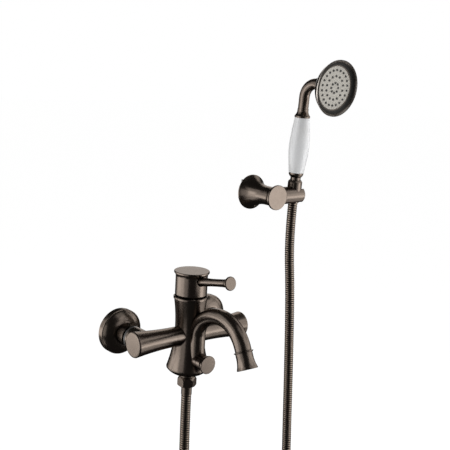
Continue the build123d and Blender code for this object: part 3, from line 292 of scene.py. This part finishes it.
# Material nodes
def new_material(name):
    material = bpy.data.materials.new(name)
    material.use_nodes = True
    material.node_tree.nodes.clear()
    return material


def add_node(tree, kind, inputs=None, **settings):
    """A node with its settings, and inputs that are numbers, colours or another node's output."""
    node = tree.nodes.new(kind)
    for name, value in settings.items():
        setattr(node, name, value)
    for name, value in (inputs or {}).items():
        if isinstance(value, bpy.types.NodeSocket):
            tree.links.new(value, node.inputs[name])
        else:
            node.inputs[name].default_value = value
    return node


def finish_surface(material, shader):
    add_node(material.node_tree, "ShaderNodeOutputMaterial", {"Surface": shader.outputs[0]})
    return material


def mix_colours(tree, share, first, second):
    """The first colour where share is 0, the second where it is 1: sockets 6 and 7 of a colour mix."""
    return add_node(tree, "ShaderNodeMix", {0: share, 6: first, 7: second}, data_type="RGBA").outputs[2]


def combine(tree, operation, first, second):
    return add_node(tree, "ShaderNodeMath", {0: first, 1: second}, operation=operation).outputs[0]


def product(tree, first, second):
    return combine(tree, "MULTIPLY", first, second)


def remap(tree, value, low, high, new_low=0.0, new_high=1.0):
    node = add_node(
        tree, "ShaderNodeMapRange",
        {"Value": value, "From Min": low, "From Max": high, "To Min": new_low, "To Max": new_high},
    )
    return node.outputs[0]


def between(tree, value, rise, fall):
    """0 before the rise, 1 from its end to the start of the fall, 0 after the fall."""
    return product(tree, remap(tree, value, *rise), remap(tree, value, *fall, 1.0, 0.0))


def measure(tree, operation, first, second):
    """A number from two vectors, such as their dot product or distance."""
    node = add_node(tree, "ShaderNodeVectorMath", {0: first, 1: second}, operation=operation)
    return node.outputs["Value"]


def noise(tree, scale, detail, roughness):
    """Noise by place on the piece, a number from 0 to 1."""
    place = add_node(tree, "ShaderNodeTexCoord").outputs["Object"]
    texture = add_node(
        tree, "ShaderNodeTexNoise",
        {"Vector": place, "Scale": scale, "Detail": detail, "Roughness": roughness},
    )
    return texture.outputs[0]


def uneven(tree, texture, least=0.0, most=1.0):
    """A number that drifts from least to most over the piece."""
    scale, detail, roughness, low, high = texture
    return remap(tree, noise(tree, scale, detail, roughness), low, high, least, most)


def bumps(tree, texture, strength, depth):
    """A surface direction that a fine noise makes uneven."""
    inputs = {"Strength": strength, "Distance": depth, "Height": noise(tree, *texture)}
    return add_node(tree, "ShaderNodeBump", inputs).outputs[0]


def edge_mask(tree):
    """About 1 on outer and inner edges, 0 on open faces."""
    bevel = add_node(tree, "ShaderNodeBevel", {"Radius": edge_reach}, samples=mask_samples)
    normal = add_node(tree, "ShaderNodeNewGeometry").outputs["Normal"]
    return remap(tree, measure(tree, "DOT_PRODUCT", bevel.outputs[0], normal), *edge_range)


def recess_shade_mask(tree):
    """Painted shade: about 1 deep in grooves, inner corners and the joins between parts, where ambient
    occlusion finds shade, 0 on open faces.
    """
    shade = add_node(
        tree, "ShaderNodeAmbientOcclusion", {"Distance": recess_shade_reach}, samples=mask_samples,
    )
    return remap(tree, shade.outputs["AO"], *recess_shade_range)


def head_masks(tree):
    """Two masks of the hand shower's head: its inner band, and the lip of its rim, which carries a
    painted highlight.
    """
    coordinates = add_node(tree, "ShaderNodeTexCoord").outputs
    facing = measure(tree, "DOT_PRODUCT", coordinates["Normal"], head_axis)
    away = measure(tree, "DISTANCE", coordinates["Object"], plate_centre)
    band = between(tree, facing, band_rise, band_fall)
    lip_highlight = product(tree, between(tree, facing, lip_highlight_rise, lip_highlight_fall), remap(tree, away, *lip_highlight_reach))
    return band, lip_highlight


# Textures: noise scale, detail, roughness, and the part of its range that is used
bronze_clouds = (38.0, 4.0, 0.6, 0.35, 0.7)
bronze_rubbing = (900.0, 3.0, 0.65, 0.3, 0.7)
bronze_breaks = (260.0, 4.0, 0.7, 0.38, 0.62)
bronze_sheen = (120.0, 5.0, 0.6, 0.3, 0.7)
glaze_clouds = (45.0, 3.0, 0.5, 0.35, 0.65)
glaze_sheen = (420.0, 3.0, 0.6, 0.3, 0.7)
stock_clouds = (90.0, 4.0, 0.6, 0.35, 0.65)
stock_sheen = (300.0, 4.0, 0.6, 0.3, 0.7)

# Fine bumps: noise scale, detail and roughness
bronze_grain = (5200.0, 2.0, 0.6)
glaze_waves = (95.0, 1.0, 0.4)
stock_grain = (1500.0, 3.0, 0.6)

# Bronze: colours, the share of each layer, roughness and bumps
bronze_colour = (0.156, 0.127, 0.106, 1.0)
bronze_patina = (0.118, 0.095, 0.079, 1.0)
bronze_worn = (0.26, 0.212, 0.18, 1.0)
# Painted shade: the near-black colour laid into grooves, inner corners and joins between parts
bronze_recess_shade = (0.02, 0.017, 0.015, 1.0)
bronze_edge_tint = (0.55, 0.54, 0.53, 1.0)
patina_share = 0.4
rubbed_share = 0.12
edge_share = 0.4
least_edge = 0.6
recess_shade_share = 0.9
bronze_roughness = (0.22, 0.27)
bronze_bump_strength = 0.05
bronze_bump_depth = 0.00002

# Masks: samples, reach, and the range of the measured value that runs from 0 to 1
mask_samples = 8
edge_reach = 0.0006
edge_range = (0.99, 0.85)
# Painted shade in recesses: how far ambient occlusion looks, and the range of its value that runs from
# 0 to 1
recess_shade_reach = 0.0025
recess_shade_range = (0.88, 0.55)

# Hose: painted shade, near black, in the grooves, and painted light on the ribs, which are much lighter
# than the bronze elsewhere
hose_groove_shade = (0.012, 0.01, 0.009, 1.0)
hose_rib_light = (0.34, 0.275, 0.225, 1.0)
groove_shade_range = (0.75, 0.95)

# Head: a dull band inside the rim and a painted highlight on the lip of the rim, by how squarely a
# place faces along the axis
head_axis = (0.0, -0.996, -0.092)
plate_points = [vertex.co for vertex in nodes["handset_face_plate"].data.vertices]
plate_centre = sum(plate_points, Vector()) / len(plate_points)
band_colour = (0.05, 0.049, 0.046, 1.0)
band_roughness = 0.55
band_rise = (0.55, 0.75)
band_fall = (0.9, 0.96)
# Painted highlight: a light colour on the lip of the rim
lip_highlight_colour = (0.6, 0.55, 0.5, 1.0)
lip_highlight_roughness = 0.4
lip_highlight_rise = (-0.3, 0.0)
lip_highlight_fall = (0.5, 0.75)
lip_highlight_reach = (0.037, 0.0385)

# White glaze
glaze_tones = ((0.74, 0.745, 0.755, 1.0), (0.77, 0.77, 0.767, 1.0))
glaze_roughness = (0.22, 0.3)
glaze_bump_strength = 0.03
glaze_bump_depth = 0.0002
glaze_coat = 0.25
glaze_coat_roughness = 0.12

# Moulded and turned stock: how far its roughness drifts, and its bumps
stock_smoother = 0.05
stock_rougher = 0.07
stock_bump_strength = 0.25
stock_bump_depth = 0.00005


def bronze_layers(tree):
    """The metal's colour: cloudy patina, rubbed grain, lighter broken edges, and painted shade that
    darkens recesses and joins almost to black.
    """
    patina = uneven(tree, bronze_clouds, 0.0, patina_share)
    colour = mix_colours(tree, patina, bronze_colour, bronze_patina)
    rubbed = uneven(tree, bronze_rubbing, 0.0, rubbed_share)
    colour = mix_colours(tree, rubbed, colour, bronze_worn)
    edges = product(tree, edge_mask(tree), uneven(tree, bronze_breaks, least_edge))
    colour = mix_colours(tree, product(tree, edges, edge_share), colour, bronze_worn)
    # Painted shade: recesses and joins darkened almost to black
    return mix_colours(tree, product(tree, recess_shade_mask(tree), recess_shade_share), colour, bronze_recess_shade)


def rib_light_and_shade(tree):
    # Painted shade in the grooves and painted light on the ribs, by the height of the rib
    height = add_node(tree, "ShaderNodeAttribute", attribute_name="rib_height").outputs["Fac"]
    return mix_colours(tree, remap(tree, height, *groove_shade_range), hose_groove_shade, hose_rib_light)


def bronze(name, ribs=False, head=False):
    """Oil-rubbed bronze: a satin brown metal with an uneven sheen and a fine grain."""
    material = new_material(name)
    tree = material.node_tree
    colour = rib_light_and_shade(tree) if ribs else bronze_layers(tree)
    gloss = uneven(tree, bronze_sheen, *bronze_roughness)
    if head:
        band, lip_highlight = head_masks(tree)
        colour = mix_colours(tree, band, colour, band_colour)
        # Painted highlight on the lip of the rim
        colour = mix_colours(tree, lip_highlight, colour, lip_highlight_colour)
        gloss = remap(tree, band, 0.0, 1.0, gloss, band_roughness)
        gloss = remap(tree, lip_highlight, 0.0, 1.0, gloss, lip_highlight_roughness)
    shader = add_node(
        tree, "ShaderNodeBsdfPrincipled",
        {
            "Base Color": colour,
            "Metallic": 1.0,
            "Roughness": gloss,
            "Specular Tint": bronze_edge_tint,
            "Normal": bumps(tree, bronze_grain, bronze_bump_strength, bronze_bump_depth),
        },
    )
    return finish_surface(material, shader)


def glaze(name):
    """White glazed ceramic: a glossy skin with faint waves and a slightly uneven white below."""
    material = new_material(name)
    tree = material.node_tree
    shader = add_node(
        tree, "ShaderNodeBsdfPrincipled",
        {
            "Base Color": mix_colours(tree, uneven(tree, glaze_clouds), *glaze_tones),
            "Roughness": uneven(tree, glaze_sheen, *glaze_roughness),
            "Coat Weight": glaze_coat,
            "Coat Roughness": glaze_coat_roughness,
            "Normal": bumps(tree, glaze_waves, glaze_bump_strength, glaze_bump_depth),
        },
    )
    return finish_surface(material, shader)


def stock(name, first, second, roughness, bump_strength=stock_bump_strength, metallic=0.0):
    """Moulded or turned stock: two close tones, an uneven sheen and a fine grain."""
    material = new_material(name)
    tree = material.node_tree
    gloss = uneven(tree, stock_sheen, roughness - stock_smoother, roughness + stock_rougher)
    shader = add_node(
        tree, "ShaderNodeBsdfPrincipled",
        {
            "Base Color": mix_colours(tree, uneven(tree, stock_clouds), (*first, 1.0), (*second, 1.0)),
            "Metallic": metallic,
            "Roughness": gloss,
            "Normal": bumps(tree, stock_grain, bump_strength, stock_bump_depth),
        },
    )
    return finish_surface(material, shader)


# Materials by slot. Stock has its two tones and its roughness.
materials = {
    "bronze": bronze("oil_rubbed_bronze"),
    # The hose's bronze: painted shade in its grooves and painted light on its ribs
    "hose_bronze": bronze("hose_bronze", ribs=True),
    "head_bronze": bronze("head_bronze", head=True),
    "brass": stock("bare_brass", (0.52, 0.36, 0.15), (0.42, 0.28, 0.11), 0.3, metallic=1.0),
    "steel": stock("brushed_steel", (0.5, 0.49, 0.47), (0.42, 0.41, 0.4), 0.3, metallic=1.0),
    "rubber": stock("black_rubber", (0.018, 0.018, 0.018), (0.03, 0.029, 0.028), 0.6),
    "black_plastic": stock("black_plastic", (0.03, 0.028, 0.027), (0.045, 0.042, 0.04), 0.42),
    "cartridge_plastic": stock("cartridge_plastic", (0.5, 0.5, 0.48), (0.44, 0.44, 0.42), 0.4),
    "plate_plastic": stock(
        "plate_plastic", (0.43, 0.405, 0.355), (0.4, 0.377, 0.33), 0.4, bump_strength=0.1,
    ),
    "disc_ceramic": stock("disc_ceramic", (0.75, 0.74, 0.7), (0.68, 0.67, 0.63), 0.2),
    "grip_ceramic": glaze("grip_ceramic"),
}
slots = {entry["node"]: entry["material_slot"] for entry in frame["record"]["subparts"]}


def dress(thing, slot):
    thing.data.materials.clear()
    thing.data.materials.append(materials[slot])


for node_name, node_object in nodes.items():
    dress(node_object, slots[node_name])
dress(nodes["handset_head_shell"], "head_bronze")
dress(hose, "hose_bronze")
dress(lower_nut, "bronze")
dress(mouth_bead, "bronze")

# Studio: a white room and floor, softboxes around the object, and a dark drum that only gloss shows
target = Vector((0.05, -0.08, 0.02))
white = (1.0, 1.0, 1.0, 1.0)
room_level = 0.23
backdrop_level = 1.0
floor_z = -0.56
floor_reach = 12.0
floor_colour = (0.8, 0.8, 0.8, 1.0)
floor_glow = 1.14
glow_share = 0.85
surround_level = 0.035
drum_radius = 1.8
drum_inner_radius = 0.5
drum_low = -0.555
drum_high = 2.0
drum_sides = 24
drum_gaps = ((75.0, 135.0), (255.0, 315.0))
lamp_distance = 1.5

# Softboxes: turn from the camera and rise in degrees, width, height, and radiance
lamps = (
    (-120.0, 1.5, 0.4, 1.12, 0.95),
    (-97.5, -9.0, 0.8, 0.56, 2.6),
    (-97.5, 12.0, 0.8, 0.56, 1.0),
    (-67.5, -9.0, 0.8, 0.56, 1.9),
    (-67.5, 12.0, 0.8, 0.56, 2.6),
    (-37.5, 1.5, 0.8, 1.12, 0.75),
    (52.5, 1.5, 0.8, 1.12, 0.9),
    (82.5, -9.0, 0.8, 0.56, 3.3),
    (90.0, 12.0, 1.2, 0.56, 1.8),
    (112.5, -9.0, 0.8, 0.56, 1.25),
    (127.5, 12.0, 0.8, 0.56, 1.8),
    (180.0, 20.0, 0.5, 1.1, 2.0),
    (-75.0, 35.0, 1.6, 0.62, 0.85),
    (75.0, 35.0, 1.3, 0.62, 1.3),
    (135.0, 35.0, 1.3, 0.62, 1.3),
    (60.0, 60.0, 0.9, 0.65, 0.65),
)


def direction(turn, rise):
    """A direction from the object: turn in degrees to the right of the camera, rise above the level."""
    azimuth = radians(camera_azimuth + turn)
    height = radians(rise)
    return Vector((sin(azimuth) * cos(height), -cos(azimuth) * cos(height), sin(height)))


def seen_directly(tree):
    """1 for rays from the camera, from gloss and through glass, 0 for rays that light the object."""
    rays = add_node(tree, "ShaderNodeLightPath").outputs
    seen = combine(tree, "MAXIMUM", rays["Is Camera Ray"], rays["Is Glossy Ray"])
    return combine(tree, "MAXIMUM", seen, rays["Is Transmission Ray"])


def mix_shaders(tree, share, first, second):
    inputs = {0: share, 1: first.outputs[0], 2: second.outputs[0]}
    return add_node(tree, "ShaderNodeMixShader", inputs)


def add_world():
    """A room that lights the object softly and is white where it is seen."""
    world = bpy.data.worlds.new("studio")
    scene.world = world
    world.use_nodes = True
    tree = world.node_tree
    tree.nodes.clear()
    lighting = add_node(tree, "ShaderNodeBackground", {"Color": white, "Strength": room_level})
    backdrop = add_node(tree, "ShaderNodeBackground", {"Color": white, "Strength": backdrop_level})
    mixed = mix_shaders(tree, seen_directly(tree), lighting, backdrop)
    add_node(tree, "ShaderNodeOutputWorld", {"Surface": mixed.outputs[0]})


def add_stage(name, corners, faces, material):
    thing = add_object(name, new_mesh(name, corners, faces))
    thing.data.materials.append(material)
    return thing


def add_floor():
    """White that keeps a soft shadow: part glow, where it is seen, and part lit paint."""
    material = new_material("floor_paint")
    tree = material.node_tree
    paint = add_node(tree, "ShaderNodeBsdfDiffuse", {"Color": floor_colour})
    glow = add_node(tree, "ShaderNodeEmission", {"Color": white, "Strength": floor_glow})
    share = product(tree, seen_directly(tree), glow_share)
    finish_surface(material, mix_shaders(tree, share, paint, glow))
    corners = [
        (x * floor_reach, y * floor_reach, floor_z)
        for x, y in ((-1, -1), (1, -1), (1, 1), (-1, 1))
    ]
    add_stage("floor", corners, [(0, 1, 2, 3)], material)


def add_surround():
    """The drum's wall, its lid, and its floor: an inner disc, and a ring with gaps that show white."""
    material = new_material("dark_surround")
    inputs = {"Color": white, "Strength": surround_level}
    finish_surface(material, add_node(material.node_tree, "ShaderNodeEmission", inputs))
    turns = [360.0 / drum_sides * number for number in range(drum_sides)]
    corners = []
    for radius, level in (
        (drum_radius, drum_low), (drum_radius, drum_high), (drum_inner_radius, drum_low),
    ):
        for turn in turns:
            place = target + radius * direction(turn, 0.0)
            corners.append((place.x, place.y, level))
    high = drum_sides
    inner = 2 * drum_sides
    faces = [tuple(range(high, inner)), tuple(range(inner, inner + drum_sides))]
    for number, turn in enumerate(turns):
        after = (number + 1) % drum_sides
        faces.append((number, after, after + high, number + high))
        if not any(start <= turn < end for start, end in drum_gaps):
            faces.append((number, after, after + inner, number + inner))
    drum = add_stage("surround", corners, faces, material)
    drum.visible_camera = False
    drum.visible_diffuse = False
    drum.visible_shadow = False
    drum.visible_transmission = False


def add_lamp(name, turn, rise, width, height, radiance):
    """A softbox that faces the object. Radiance is how bright its face looks, where white is 1."""
    data = bpy.data.lights.new(name, "AREA")
    data.shape = "RECTANGLE"
    data.size = width
    data.size_y = height
    data.energy = radiance * pi * width * height
    lamp = add_object(name, data)
    lamp.visible_camera = False
    lamp.location = target + lamp_distance * direction(turn, rise)
    lamp.rotation_mode = "QUATERNION"
    lamp.rotation_quaternion = (target - lamp.location).to_track_quat("-Z", "Y")


add_world()
add_floor()
add_surround()
for number, lamp in enumerate(lamps, 1):
    add_lamp(f"lamp_{number:02}", *lamp)

scene.view_settings.view_transform = "Standard"
